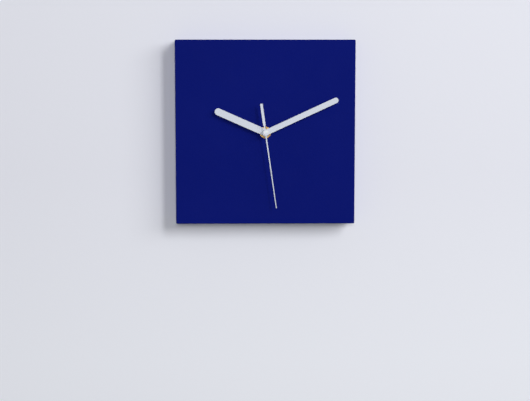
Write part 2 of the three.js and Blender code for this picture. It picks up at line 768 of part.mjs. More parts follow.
function stepWheel() {
  return joined(
    gear(STEP_TEETH, STEP_MODULE, STEP_WHEEL_PHASE, TOOTH, STEP_LAYER),
    gear(STEP_LEAVES, SECONDS_MODULE, STEP_PINION_PHASE, LEAF, [SECONDS_LAYER[0] - 0.1, STEP_LAYER[0] + 0.1]),
    rod(0.35, depthOf(BRIDGE_LAYER[0] + 0.1), depthOf(10.8), SHAFT, SMALL),
  );
}

function rotorPinion() {
  return joined(
    gear(ROTOR_LEAVES, STEP_MODULE, ROTOR_PHASE, LEAF, [STEP_LAYER[0] - 0.2, STEP_LAYER[1] + 0.2]),
    rod(0.6, depthOf(8), depthOf(MAGNET_LAYER[1] + 0.2), SHAFT, SMALL),
    rod(0.3, depthOf(BRIDGE_LAYER[0] + 0.1), depthOf(13.4), SHAFT, SMALL),
  );
}

const rotorMagnet = tube(2.2, 0.6 + PRESS_GAP, ...MAGNET_LAYER.map(depthOf), SHAFT, 20);
piece("centre_wheel", centreWheel(), GEAR_PLASTIC);
piece("third_wheel", thirdWheel(), GEAR_PLASTIC, THIRD);
piece("seconds_wheel", secondsWheel(), GEAR_PLASTIC);
piece("seconds_arbor", rod(ARBOR, ARBOR_FRONT, depthOf(12), SHAFT, SMALL), STEEL);
piece("step_wheel", stepWheel(), GEAR_PLASTIC, STEP);
piece("rotor_pinion", rotorPinion(), GEAR_PLASTIC, ROTOR);
piece("rotor_magnet", rotorMagnet, finish(0x5d6066, 0.4, 1), ROTOR);

// ---- Motor: coil and stator ----

const COIL_HEIGHT = 21.5; // of its axis above the hand shaft
const BOBBIN_HALF = 14;
const FLANGE = 1;
const COIL_MIDDLE = (CORE_LAYER[0] + CORE_LAYER[1]) / 2;
const CORE_HALF_WIDTH = 1.7;
const STATOR_BORE = 2.7;
const STATOR_GAP = 0.5; // between the two pole pieces

// A bar along X round the coil's middle, with half sizes in depth and in height.
function coilBar(x0, x1, halfDepth, halfHeight) {
  const middle = depthOf(COIL_MIDDLE);
  return bar(x0, x1, middle - halfDepth, middle + halfDepth, COIL_HEIGHT - halfHeight, COIL_HEIGHT + halfHeight);
}

// A bar along X with a rounded section.
function coilRound(x0, x1, halfDepth, halfHeight, segments = 20) {
  const geometry = new THREE.CylinderGeometry(1, 1, x1 - x0, segments);
  geometry.rotateZ(Math.PI / 2);
  geometry.scale(1, halfDepth, halfHeight);
  geometry.translate((x0 + x1) / 2, depthOf(COIL_MIDDLE), COIL_HEIGHT);
  return solidFrom(geometry);
}

function coilBobbin() {
  return cut(
    joined(
      coilBar(-BOBBIN_HALF, BOBBIN_HALF, 0.9, 2.2),
      coilBar(-BOBBIN_HALF, -BOBBIN_HALF + FLANGE, 2.6, 4.4),
      coilBar(BOBBIN_HALF - FLANGE, BOBBIN_HALF, 2.6, 4.4),
    ),
    coilBar(-BOBBIN_HALF - 1, BOBBIN_HALF + 1, 0.5, CORE_HALF_WIDTH + 0.1),
  );
}

function coilWinding() {
  const half = BOBBIN_HALF - FLANGE - REST_GAP;
  return cut(coilRound(-half, half, 2.4, 4), coilBar(-half - 1, half + 1, 1, 2.3));
}

function coilCore() {
  const [front, back] = CORE_LAYER.map(depthOf);
  return cut(
    bar(-22, 22, front, back, COIL_HEIGHT - CORE_HALF_WIDTH, COIL_HEIGHT + CORE_HALF_WIDTH),
    ...STATOR_POSTS.map((at) => rod(0.9, front - 1, back + 1, at, SMALL)),
  );
}

// One pole piece: a leg up to the end of the coil's core, and an arm to the rotor.
function stator(side, arm) {
  const [front, back] = STATOR_LAYER.map(depthOf);
  const facing = ROTOR.x + (side * STATOR_GAP) / 2;
  const end = side * 22;
  const leg = side * 17.6;
  const outline = new THREE.Shape();
  outline.moveTo(facing, ROTOR.z - 4.2);
  outline.lineTo(facing, ROTOR.z + 4.2);
  outline.lineTo(facing + side * 4, ROTOR.z + 4.2);
  outline.lineTo(leg, arm);
  outline.lineTo(leg, COIL_HEIGHT + CORE_HALF_WIDTH);
  outline.lineTo(end, COIL_HEIGHT + CORE_HALF_WIDTH);
  outline.lineTo(end, arm - 3.5);
  outline.lineTo(facing + side * 4, ROTOR.z - 1.2);
  outline.closePath();
  return cut(
    slab(outline, front, back),
    rod(STATOR_BORE, front - 1, back + 1, ROTOR),
    ...STATOR_POSTS.map((at) => rod(0.9, front - 1, back + 1, at, SMALL)),
  );
}

piece("coil_bobbin", coilBobbin(), finish(0xded7c2, 0.5));
piece("coil_winding", coilWinding(), COPPER);
piece("coil_core", coilCore(), STEEL);
piece("stator_left", stator(-1, 13), STEEL);
piece("stator_right", stator(1, 13), STEEL);

// ---- Circuit ----

const BOARD = { left: -25.4, right: -9.4, low: -9.8, high: 7.8 };
const BOARD_BACK = depthOf(BOARD_LAYER[1]);

function circuitBoard() {
  const [front, back] = BOARD_LAYER.map(depthOf);
  return cut(
    bar(BOARD.left, BOARD.right, front, back, BOARD.low, BOARD.high),
    ...BOARD_POSTS.map((at) => rod(0.8, front - 1, back + 1, at, SMALL)),
  );
}

function quartzCrystal() {
  const geometry = new THREE.CylinderGeometry(1.05, 1.05, 6.2, SMALL);
  geometry.rotateZ(Math.PI / 2);
  geometry.translate(-16, BOARD_BACK + 1.15, 3.4);
  return solidFrom(geometry);
}

function chipBlob() {
  const base = BOARD_BACK + REST_GAP;
  return turned(
    [
      [0, base],
      [2.6, base],
      [2.3, base + 0.5],
      [1.3, base + 0.9],
      [0, base + 1],
    ],
    { x: -18.5, z: -3 },
    16,
  );
}

piece("circuit_board", circuitBoard(), finish(0x1f6b3a, 0.5));
piece("quartz_crystal", quartzCrystal(), STEEL);
piece("chip_blob", chipBlob(), finish(0x111113, 0.35));

// ---- Cell and its contacts ----

const STRIP = 0.4;
const STRIP_LAYER = [10.6, 13.9];
const CONTACT_LOW = -25;
const CONTACT_WALL = INNER - 0.1;

// A strip that stands at the cell's positive end and runs over the divider to the board.
function positiveContact() {
  const outline = new THREE.Shape();
  const inside = CONTACT_WALL - STRIP;
  const rail = DIVIDER_HIGH + 0.1;
  outline.moveTo(CONTACT_WALL, CONTACT_LOW);
  outline.lineTo(CONTACT_WALL, rail + STRIP);
  outline.lineTo(BOARD.right + 0.4, rail + STRIP);
  outline.lineTo(BOARD.right + 0.4, rail);
  outline.lineTo(inside, rail);
  outline.lineTo(inside, CONTACT_LOW);
  outline.closePath();
  return slab(outline, ...STRIP_LAYER.map(depthOf));
}

// A bowed leaf at the cell's negative end, with a tail up to the board's edge.
function negativeContact() {
  const outline = new THREE.Shape();
  const outside = -CONTACT_WALL;
  const bow = -24.9;
  outline.moveTo(outside, CONTACT_LOW);
  outline.lineTo(outside + STRIP, CONTACT_LOW);
  outline.lineTo(outside + STRIP, CONTACT_LOW + 1.5);
  outline.lineTo(bow, CELL_MIDDLE.z);
  outline.lineTo(outside + STRIP, CELL_MIDDLE.z + 5);
  outline.lineTo(outside + STRIP, 2);
  outline.lineTo(outside, 2);
  outline.lineTo(outside, CELL_MIDDLE.z + 4.8);
  outline.lineTo(bow - STRIP, CELL_MIDDLE.z);
  outline.lineTo(outside, CONTACT_LOW + 1.7);
  outline.closePath();
  return slab(outline, ...STRIP_LAYER.map(depthOf));
}

// A turned solid round an axis along X. The profile is [radius, x].
function turnedAlongX(profile, middle, segments = ROUND) {
  const points = profile.map(([radius, x]) => new THREE.Vector2(radius, x));
  const geometry = new THREE.LatheGeometry(points, segments);
  geometry.rotateZ(-Math.PI / 2);
  geometry.translate(0, middle.y, middle.z);
  return solidFrom(geometry);
}

const CELL_AXIS = { y: depthOf(1.5 + CELL_RADIUS), z: CELL_MIDDLE.z };
const CELL_START = -24.75;
const CELL_END = CELL_START + CELL_LENGTH;
const NUB_LENGTH = 1;

function cellBody() {
  const edge = 0.4;
  const shoulder = CELL_END - NUB_LENGTH;
  return turnedAlongX(
    [
      [0, CELL_START],
      [CELL_RADIUS - edge, CELL_START],
      [CELL_RADIUS, CELL_START + edge],
      [CELL_RADIUS, shoulder - edge - 0.3],
      [CELL_RADIUS - edge, shoulder - 0.3],
      [0, shoulder - 0.3],
    ],
    CELL_AXIS,
    FINE,
  );
}

function cellTerminal() {
  const shoulder = CELL_END - NUB_LENGTH;
  return turnedAlongX(
    [
      [0, shoulder - 0.2],
      [4.6, shoulder - 0.2],
      [4.6, shoulder],
      [2.75, shoulder],
      [2.5, CELL_END],
      [0, CELL_END],
    ],
    CELL_AXIS,
  );
}

piece("battery_contact_positive", positiveContact(), STEEL);
piece("battery_contact_negative", negativeContact(), STEEL);
piece("battery_cell", cellBody(), finish(0xb9bec4, 0.4));
piece("battery_terminal", cellTerminal(), STEEL);

export default clock;
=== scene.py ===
"""The looks of a square wall clock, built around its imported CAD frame.

Metres in the row frame: the front faces -Y and the wall is at y = 0. Pieces are made in
millimetres, with x and z from the hand shaft's axis, and scaled into place at the end.
"""

import math

import bmesh
import bpy
from mathutils import Matrix, Vector


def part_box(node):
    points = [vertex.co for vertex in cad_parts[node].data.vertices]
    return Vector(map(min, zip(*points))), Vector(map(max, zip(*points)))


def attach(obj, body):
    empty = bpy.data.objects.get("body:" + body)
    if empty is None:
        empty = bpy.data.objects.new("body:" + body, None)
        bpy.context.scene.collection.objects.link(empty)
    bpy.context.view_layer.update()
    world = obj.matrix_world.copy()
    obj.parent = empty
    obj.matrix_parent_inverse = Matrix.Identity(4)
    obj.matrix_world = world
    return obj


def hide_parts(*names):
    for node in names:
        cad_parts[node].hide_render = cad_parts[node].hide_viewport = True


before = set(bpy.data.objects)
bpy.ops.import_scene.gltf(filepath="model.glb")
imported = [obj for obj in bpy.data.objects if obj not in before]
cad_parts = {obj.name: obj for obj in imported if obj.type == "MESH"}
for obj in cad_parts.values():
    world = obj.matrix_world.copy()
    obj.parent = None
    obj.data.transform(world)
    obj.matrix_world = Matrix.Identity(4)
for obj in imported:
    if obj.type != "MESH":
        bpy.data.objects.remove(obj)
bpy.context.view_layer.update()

MM = 0.001

bush_low, bush_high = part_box("threaded_bush")
SHAFT = Vector(((bush_low.x + bush_high.x) / 2, 0, (bush_low.z + bush_high.z) / 2))

# Directions of the hands, in degrees clockwise from the top, as the CAD sets them.
HOUR_ANGLE = 293.9
MINUTE_ANGLE = 65.3
SECOND_ANGLE = 171.8

# Edges sharper than this, in degrees, shade as creases.
SOFT_ANGLE = 35
# The weight that Blender gives a face marked strong.
STRONG_FACE = 16384

# Sizes that the CAD boxes don't give, in millimetres.
CLEARANCE = 0.1  # between parts that touch in the real clock
BLOCK_EDGE = 1.0
BLOCK_CORNER = 1.4
POCKET = 60
POCKET_CORNER = 1
BUSH_HOLE_RADIUS = 4.3
HANGER_CORNER = 2
HANGER_FIT = 0.3
CAVITY_WIDTH = 14
CAVITY_HEIGHT = 22
CAVITY_CORNER = 5
CAVITY_DEPTH = 8
SCREW_HOLE_RADIUS = 1.5
SCREW_HOLE_DEPTH = 14
KEYHOLE_ENTRY_RADIUS = 5
KEYHOLE_SLOT_RADIUS = 2.5
KEYHOLE_DROP = 8
KEYHOLE_TOP_MARGIN = 9
BUSH_BORE = 2.65
BUSH_RADIUS = 4
BUSH_FLANGE = 6
THREAD_CREST = 3.98
THREAD_PITCH = 0.4
WASHER_BORE = 4.15
SECOND_LENGTH = 84.7
SECOND_TIP = 0.45
SECOND_TAIL = 32.5
SECOND_BORE = 1.3
CAP_RADIUS = 3.5


def span(node):
    """A CAD node's lowest and highest corners in millimetres, x and z from the hand shaft."""
    low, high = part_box(node)
    return (low - SHAFT) / MM, (high - SHAFT) / MM


# ---- Camera ----


def make_camera():
    """An 85 mm lens 1.42 m in front of the wall, a little above the clock and looking slightly down."""
    lens = bpy.data.cameras.new("camera")
    lens.lens = 85
    lens.sensor_width = 36
    lens.clip_start = 0.05
    lens.clip_end = 30
    camera = bpy.data.objects.new("camera", lens)
    camera.location = (-0.0283, -1.4215, 0.0113)
    camera.rotation_euler = (math.radians(90 - 6.54), 0, math.radians(-1.15))
    bpy.context.scene.collection.objects.link(camera)
    bpy.context.scene.camera = camera


# ---- Surfaces ----


class Surface:
    """A material whose textures are laid in object coordinates, in metres."""

    def __init__(self, name, **constants):
        self.material = bpy.data.materials.new(name)
        self.material.use_nodes = True
        self.tree = self.material.node_tree
        self.shader = self.tree.nodes["Principled BSDF"]
        self.place = self.add("ShaderNodeTexCoord").outputs["Object"]
        self.feed(self.shader, constants)

    def feed(self, node, inputs):
        for name, value in inputs.items():
            socket = node.inputs[name.replace("_", " ")]
            if isinstance(value, bpy.types.NodeSocket):
                self.tree.links.new(value, socket)
            elif isinstance(value, tuple) and len(value) == 3 and socket.type == "RGBA":
                socket.default_value = (*value, 1)
            else:
                socket.default_value = value

    def add(self, kind, settings=(), **inputs):
        node = self.tree.nodes.new(kind)
        for name, value in dict(settings).items():
            setattr(node, name, value)
        self.feed(node, inputs)
        return node

    def placed(self, stretch=(1, 1, 1), about=(0, 0, 0)):
        """Object coordinates measured from a point, then stretched along each axis."""
        moved = self.add("ShaderNodeVectorMath", {"operation": "SUBTRACT"})
        self.tree.links.new(self.place, moved.inputs[0])
        moved.inputs[1].default_value = about
        return self.add("ShaderNodeMapping", Vector=moved.outputs[0], Scale=stretch).outputs[0]

    def noise(self, scale, detail=2.0, rough=0.5, at=None):
        """Cloudy noise from 0 to 1. Scale is in features a metre."""
        inputs = {"Vector": at or self.place, "Scale": scale, "Detail": detail, "Roughness": rough}
        return self.add("ShaderNodeTexNoise", **inputs).outputs[0]

    def cells(self, scale, at=None):
        """A flat random value from 0 to 1 in each cell."""
        node = self.add("ShaderNodeTexVoronoi", Vector=at or self.place, Scale=scale)
        split = self.add("ShaderNodeSeparateColor", Color=node.outputs["Color"])
        return split.outputs[0]

    def waves(self, scale, kind="BANDS", along="X", at=None, distortion=0.0):
        """Even waves from 0 to 1 along an axis, or rings round it."""
        settings = {"wave_type": kind, "bands_direction": along, "rings_direction": along}
        inputs = {"Vector": at or self.place, "Scale": scale, "Distortion": distortion, "Detail": 2.0}
        return self.add("ShaderNodeTexWave", settings, **inputs).outputs["Fac"]

    def spread(self, value, low, high, start=0.0, end=1.0):
        """Value between start and end, carried over to the range from low to high."""
        node = self.add("ShaderNodeMapRange", Value=value)
        for socket, number in zip(node.inputs[1:5], (start, end, low, high)):
            socket.default_value = number
        return node.outputs[0]

    def math(self, operation, first, second=0.0):
        node = self.add("ShaderNodeMath", {"operation": operation})
        for socket, value in zip(node.inputs, (first, second)):
            if isinstance(value, bpy.types.NodeSocket):
                self.tree.links.new(value, socket)
            else:
                socket.default_value = value
        return node.outputs[0]

    def axis(self, name):
        return self.add("ShaderNodeSeparateXYZ", Vector=self.place).outputs[name]

    def edges(self):
        """From 0 on flat stretches to 1 on outward edges. Faces square to the axes count as flat."""
        geometry = self.add("ShaderNodeNewGeometry")
        # The outward edges that the materials paint lighter: partly wear, partly a painted highlight.
        edge_wear_and_highlight = self.spread(geometry.outputs["Pointiness"], 0, 1, 0.52, 0.6)
        size = self.add("ShaderNodeVectorMath", {"operation": "ABSOLUTE"})
        self.tree.links.new(geometry.outputs["True Normal"], size.inputs[0])
        x, y, z = self.add("ShaderNodeSeparateXYZ", Vector=size.outputs[0]).outputs
        largest = self.math("MAXIMUM", x, self.math("MAXIMUM", y, z))
        return self.math("MULTIPLY", edge_wear_and_highlight, self.math("LESS_THAN", largest, 0.9999))

    def blend(self, factor, first, second):
        node = self.add("ShaderNodeMix", {"data_type": "RGBA"}, Factor=factor)
        for socket, value in zip(node.inputs[6:8], (first, second)):
            if isinstance(value, bpy.types.NodeSocket):
                self.tree.links.new(value, socket)
            else:
                socket.default_value = (*value, 1)
        return node.outputs[2]

    def bump(self, height, strength, depth, over=None):
        """A normal bent by a height, whose full range stands for depth in metres."""
        node = self.add("ShaderNodeBump", Height=height, Strength=strength, Distance=depth)
        if over is not None:
            self.tree.links.new(over, node.inputs["Normal"])
        return node.outputs[0]

    def done(self, color, roughness, normal):
        self.feed(self.shader, {"Base Color": color, "Roughness": roughness, "Normal": normal})
        return self.material

    def faded(self, factor, other):
        """The surface so far, given over to another shader where the factor is 1."""
        mixed = self.add("ShaderNodeMixShader", Fac=factor)
        end = self.tree.nodes["Material Output"].inputs["Surface"]
        self.tree.links.new(end.links[0].from_socket, mixed.inputs[1])
        self.tree.links.new(other.outputs[0], mixed.inputs[2])
        self.tree.links.new(mixed.outputs[0], end)
        return self.material

    def away(self, start, end):
        """Fades into the backdrop with distance from the clock, in metres."""
        glow = self.add("ShaderNodeEmission", Color=backdrop_color(self), Strength=BACKDROP_GLOW)
        length = self.add("ShaderNodeVectorMath", {"operation": "LENGTH"})
        self.tree.links.new(self.place, length.inputs[0])
        return self.faded(self.spread(length.outputs["Value"], 0, 1, start, end), glow)


def case_paint():
    """Matt ultramarine, rolled on smooth wood: a faint stipple, and outward edges painted lighter, partly
    rubbed wear and partly a painted highlight.
    """
    s = Surface("case_paint", Specular_IOR_Level=0.04)
    cloud = s.noise(9, 3)
    stipple = s.noise(750, 3, 0.6)
    color = s.blend(cloud, (0.0014, 0.0062, 0.145), (0.0024, 0.0080, 0.171))
    color = s.blend(s.spread(stipple, 0, 0.1, 0.3, 0.9), color, (0.010, 0.020, 0.21))
    # Outward edges painted lighter: partly rubbed paint, partly a painted highlight.
    rubbed_and_highlit_edges = s.math("MULTIPLY", s.edges(), s.spread(s.noise(160, 3), 0.1, 0.5))
    color = s.blend(rubbed_and_highlit_edges, color, (0.03, 0.045, 0.27))
    roughness = s.spread(s.noise(45, 4), 0.74, 0.9)
    normal = s.bump(stipple, 0.8, 0.0003)
    normal = s.bump(s.noise(3600, 2), 0.08, 0.00004, normal)
    return s.done(color, roughness, normal)


def raw_board():
    """Fibreboard left bare inside the recesses, with paint strayed over its rim."""
    s = Surface("raw_board", Specular_IOR_Level=0.2)
    fibre = s.noise(900, 5, 0.7, s.placed((1, 0.35, 1)))
    speck = s.noise(2600, 3, 0.6)
    color = s.blend(fibre, (0.25, 0.165, 0.09), (0.46, 0.33, 0.2))
    color = s.blend(s.spread(speck, 0, 0.7, 0.58, 0.75), color, (0.15, 0.09, 0.045))
    depth = s.math("ADD", s.axis("Y"), s.spread(s.noise(420, 5, 0.65), -0.0022, 0.0022))
    stray = s.spread(depth, 0, 0.94, -0.0022, -0.0009)
    color = s.blend(stray, color, (0.0042, 0.0094, 0.140))
    cutter = s.waves(190, "RINGS", "Y", s.placed(about=(0, 0, SHAFT.z)), 3.0)
    normal = s.bump(cutter, 0.2, 0.00008)
    normal = s.bump(fibre, 0.5, 0.00025, normal)
    return s.done(color, s.spread(fibre, 0.75, 0.95), normal)


def hand_paint():
    """Satin white baked on thin aluminium."""
    s = Surface("hand_paint", Specular_IOR_Level=0.32)
    flow = s.noise(420, 2)
    color = s.blend(s.noise(60, 3), (0.625, 0.668, 0.755), (0.655, 0.698, 0.785))
    color = s.blend(s.spread(s.noise(2400, 2), 0, 0.35, 0.62, 0.8), color, (0.56, 0.6, 0.67))
    # Outward edges painted whiter: a painted highlight, partly wear.
    color = s.blend(s.math("MULTIPLY", s.edges(), 0.5), color, (0.8, 0.84, 0.9))
    normal = s.bump(flow, 0.12, 0.00008)
    normal = s.bump(s.noise(5200, 2), 0.08, 0.00002, normal)
    return s.done(color, s.spread(s.noise(300, 3), 0.36, 0.5), normal)


def hand_cap():
    """White moulded plastic, a little glossier than the hands."""
    s = Surface("hand_cap", Specular_IOR_Level=0.45, Subsurface_Weight=0.08, Subsurface_Scale=0.0006)
    color = s.blend(s.noise(500, 3), (0.70, 0.74, 0.8), (0.74, 0.775, 0.83))
    normal = s.bump(s.noise(2600, 3), 0.12, 0.00003)
    return s.done(color, s.spread(s.noise(900, 2), 0.28, 0.4), normal)


def brass():
    """Turned brass: fine rings round the shaft and a thin brown tarnish."""
    s = Surface("brass", Metallic=1.0)
    at = s.placed(about=tuple(SHAFT))
    rings = s.waves(1500, "RINGS", "Y", at, 1.2)
    tarnish = s.noise(420, 4, 0.6)
    color = s.blend(s.spread(tarnish, 0, 1, 0.35, 0.75), (0.37, 0.245, 0.09), (0.2, 0.12, 0.042))
    # Outward edges painted brighter: partly wear, partly a painted highlight.
    color = s.blend(s.math("MULTIPLY", s.edges(), 0.6), color, (0.55, 0.41, 0.19))
    roughness = s.math("ADD", s.spread(tarnish, 0.34, 0.52), s.spread(rings, -0.03, 0.06))
    normal = s.bump(rings, 0.25, 0.00002)
    return s.done(color, roughness, s.bump(tarnish, 0.1, 0.00003, normal))


def zinc_steel():
    """Zinc-plated sheet and screws: a cool patchy sheen over fine rolling lines."""
    s = Surface("zinc_steel", Metallic=1.0)
    patches = s.cells(420)
    cloud = s.noise(160, 4, 0.6)
    lines = s.noise(2600, 3, 0.6, s.placed((0.06, 1, 1)))
    color = s.blend(cloud, (0.40, 0.415, 0.44), (0.54, 0.545, 0.545))
    color = s.blend(s.spread(patches, 0, 0.25), color, (0.5, 0.46, 0.36))
    # Outward edges painted brighter: partly wear, partly a painted highlight.
    color = s.blend(s.math("MULTIPLY", s.edges(), 0.5), color, (0.82, 0.83, 0.84))
    roughness = s.math("ADD", s.spread(cloud, 0.26, 0.42), s.spread(patches, -0.04, 0.05))
    normal = s.bump(lines, 0.2, 0.00002)
    return s.done(color, roughness, s.bump(cloud, 0.12, 0.0001, normal))


def spring_steel():
    """Nickel-plated strip, brighter and smoother than the zinc."""
    s = Surface("spring_steel", Metallic=1.0)
    lines = s.noise(3000, 3, 0.6, s.placed((1, 0.08, 1)))
    cloud = s.noise(300, 3)
    color = s.blend(cloud, (0.66, 0.64, 0.6), (0.78, 0.76, 0.72))
    return s.done(color, s.spread(lines, 0.2, 0.34), s.bump(lines, 0.18, 0.00002))


def magnet():
    """Sintered magnet: dark, grainy and slightly metallic."""
    s = Surface("magnet", Metallic=0.8)
    grain = s.noise(4200, 3, 0.7)
    color = s.blend(grain, (0.12, 0.125, 0.13), (0.26, 0.265, 0.27))
    return s.done(color, s.spread(grain, 0.4, 0.6), s.bump(grain, 0.3, 0.00003))


def copper_wire():
    """Fine enamelled wire, laid turn by turn along the coil."""
    s = Surface("copper_wire", Metallic=1.0, Coat_Weight=0.4, Coat_Roughness=0.2)
    turns = s.waves(1300, "BANDS", "X", None, 0.6)
    layers = s.noise(500, 3)
    color = s.blend(layers, (0.45, 0.13, 0.045), (0.66, 0.24, 0.09))
    return s.done(color, s.spread(turns, 0.24, 0.42), s.bump(turns, 0.7, 0.00008))


def black_plastic():
    """Moulded black plastic with the even sparkle of a spark-eroded tool."""
    s = Surface("black_plastic", Specular_IOR_Level=0.4)
    spark = s.noise(3200, 3, 0.65)
    flow = s.noise(55, 3)
    color = s.blend(flow, (0.0105, 0.0108, 0.0118), (0.017, 0.0173, 0.0185))
    # Outward edges painted lighter: partly wear, partly a painted highlight.
    color = s.blend(s.math("MULTIPLY", s.edges(), 0.5), color, (0.045, 0.046, 0.05))
    color = s.blend(s.spread(s.noise(1300, 4, 0.7), 0, 0.12, 0.62, 0.8), color, (0.12, 0.115, 0.105))
    normal = s.bump(spark, 0.35, 0.00005)
    return s.done(color, s.spread(flow, 0.4, 0.55), normal)


def pale_plastic():
    """Natural acetal: off-white, waxy and faintly translucent."""
    s = Surface("pale_plastic", Specular_IOR_Level=0.45, Subsurface_Weight=0.12, Subsurface_Scale=0.0008)
    cloud = s.noise(260, 3)
    color = s.blend(cloud, (0.68, 0.64, 0.53), (0.78, 0.75, 0.66))
    return s.done(color, s.spread(cloud, 0.36, 0.48), s.bump(s.noise(2400, 3), 0.15, 0.00003))


def rubber():
    """Soft black rubber with a dusty bloom."""
    s = Surface("rubber", Specular_IOR_Level=0.25)
    bloom = s.noise(380, 4, 0.65)
    color = s.blend(s.spread(bloom, 0, 1, 0.4, 0.8), (0.011, 0.011, 0.012), (0.035, 0.035, 0.036))
    return s.done(color, s.spread(bloom, 0.75, 0.92), s.bump(s.noise(2600, 3), 0.4, 0.00005))


def circuit_board():
    """Green solder mask over paler copper tracks."""
    s = Surface("circuit_board", Specular_IOR_Level=0.5)
    tracks = s.waves(150, "BANDS", "Z", None, 8.0)
    weave = s.noise(1800, 3)
    color = s.blend(s.spread(tracks, 0, 1, 0.46, 0.54), (0.008, 0.085, 0.03), (0.018, 0.17, 0.055))
    color = s.blend(s.spread(weave, 0, 0.3), color, (0.01, 0.06, 0.025))
    return s.done(color, s.spread(weave, 0.24, 0.38), s.bump(tracks, 0.35, 0.00004))


def battery_wrap(low, high):
    """Printed film over a steel can: silver grey with a darker band at the positive end."""
    s = Surface("battery_wrap", Metallic=0.55, Coat_Weight=0.6, Coat_Roughness=0.16)
    along = s.axis("X")
    length = high - low
    scuff = s.noise(900, 4, 0.7, s.placed((0.25, 1, 1)))
    film = s.blend(s.noise(120, 3), (0.47, 0.5, 0.53), (0.56, 0.585, 0.61))
    band = s.spread(along, 0, 1, high - 0.27 * length, high - 0.265 * length)
    color = s.blend(band, film, (0.055, 0.075, 0.09))
    line_start = s.spread(along, 0, 1, high - 0.305 * length, high - 0.301 * length)
    line_end = s.spread(along, 1, 0, high - 0.289 * length, high - 0.285 * length)
    color = s.blend(s.math("MULTIPLY", line_start, line_end), color, (0.055, 0.075, 0.09))
    color = s.blend(s.spread(scuff, 0, 0.4, 0.6, 0.8), color, (0.62, 0.63, 0.64))
    return s.done(color, s.spread(scuff, 0.26, 0.42), s.bump(scuff, 0.12, 0.00004))


# ---- Shapes, in millimetres ----


def arc(x, z, radius, start, end, steps):
    """Points along an arc. Angles are in degrees, anticlockwise from +X."""
    turns = [math.radians(start + (end - start) * i / steps) for i in range(steps + 1)]
    return [(x + radius * math.cos(a), z + radius * math.sin(a)) for a in turns]


def hole(x, z, radius, steps=48):
    """A round outline that runs clockwise, as holes do."""
    return arc(x, z, radius, 360, 360 / steps, steps - 1)


def rounded_rectangle(width, height, radius, x=0.0, z=0.0, steps=8):
    points = []
    for side, up, start in ((1, -1, -90), (1, 1, 0), (-1, 1, 90), (-1, -1, 180)):
        middle = (x + side * (width / 2 - radius), z + up * (height / 2 - radius))
        points += arc(*middle, radius, start, start + 90, steps)
    return points


def baton(width, length, hub, steps=24):
    """A bar with two round ends, drawn upwards from the shaft."""
    half = width / 2
    edge = math.degrees(math.asin(half / hub))
    return arc(0, 0, hub, 90 + edge, 450 - edge, steps * 2) + arc(0, length - half, half, 0, 180, steps)


def evaluated(thing):
    """The mesh of an object with its modifiers, as a new bmesh. The object is removed."""
    bpy.context.scene.collection.objects.link(thing)
    bpy.context.view_layer.update()
    depsgraph = bpy.context.evaluated_depsgraph_get()
    mesh = bpy.data.meshes.new_from_object(thing.evaluated_get(depsgraph))
    shape = bmesh.new()
    shape.from_mesh(mesh)
    bpy.data.meshes.remove(mesh)
    bpy.data.objects.remove(thing)
    return shape


def joined_flats(shape):
    bmesh.ops.remove_doubles(shape, verts=shape.verts, dist=1e-4)
    bmesh.ops.dissolve_limit(shape, angle_limit=math.radians(0.4), verts=shape.verts, edges=shape.edges)
    return shape


def plate(outlines, front, back, edge=0.0, steps=2):
    """Outlines in x and z made solid between two depths, with rounded edges.

    The outer outline runs anticlockwise and holes run clockwise."""
    curve = bpy.data.curves.new("outline", "CURVE")
    curve.dimensions = "2D"
    curve.fill_mode = "BOTH"
    for points in outlines:
        spline = curve.splines.new("POLY")
        spline.points.add(len(points) - 1)
        for point, (x, z) in zip(spline.points, points):
            point.co = (x, z, 0, 1)
        spline.use_cyclic_u = True
    curve.extrude = (back - front) / 2 - edge
    curve.bevel_depth = edge
    curve.bevel_resolution = steps
    curve.offset = -edge
    shape = evaluated(bpy.data.objects.new("outline", curve))
    bpy.data.curves.remove(curve)
    joined_flats(shape)
    shape.transform(Matrix.Translation((0, (front + back) / 2, 0)) @ Matrix.Rotation(math.pi / 2, 4, "X"))
    bmesh.ops.recalc_face_normals(shape, faces=shape.faces)
    return shape


def turned(profile, x=0.0, z=0.0, segments=64, radius_at=None):
    """A solid turned round Y from [radius, y] points, which start and end on the axis or close a loop.

    radius_at(radius, y, angle) may bend the radius, as a thread does."""
    shape = bmesh.new()
    rings = []
    for radius, y in profile:
        count = segments if radius else 1
        ring = []
        for i in range(count):
            angle = math.tau * i / segments
            r = radius_at(radius, y, angle) if radius_at and radius else radius
            ring.append(shape.verts.new((x + r * math.cos(angle), y, z + r * math.sin(angle))))
        rings.append(ring)
    for first, second in zip(rings, rings[1:]):
        for i in range(segments):
            j = (i + 1) % segments
            steps = ((first, i), (first, j), (second, j), (second, i))
            corners = list(dict.fromkeys(ring[k % len(ring)] for ring, k in steps))
            if len(corners) > 2:
                shape.faces.new(corners)
    bmesh.ops.remove_doubles(shape, verts=shape.verts, dist=1e-5)
    bmesh.ops.recalc_face_normals(shape, faces=shape.faces)
    return shape


def rod(radius, front, back, x=0.0, z=0.0, segments=64):
    """A plain cylinder along Y."""
    return turned([(0, front), (radius, front), (radius, back), (0, back)], x, z, segments)


def rounded(corners, steps=4):
    """A profile of (radius, y, fillet) corners as [radius, y] points with the fillets drawn."""
    points = []
    for i, (r, y, fillet) in enumerate(corners):
        here = Vector((r, y))
        if not fillet:
            points.append((r, y))
            continue
        before = (Vector(corners[i - 1][:2]) - here).normalized()
        after = (Vector(corners[(i + 1) % len(corners)][:2]) - here).normalized()
        reach = fillet / math.tan(before.angle(after) / 2)
        for k in range(steps + 1):
            t = k / steps
            a = here + before * reach * (1 - t)
            b = here + after * reach * t
            points.append(tuple(a.lerp(b, t)))
    return points


def merged(*shapes):
    """Several closed shapes in one mesh."""
    first = shapes[0]
    for other in shapes[1:]:
        mesh = bpy.data.meshes.new("part")
        other.to_mesh(mesh)
        first.from_mesh(mesh)
        bpy.data.meshes.remove(mesh)
        other.free()
    return first


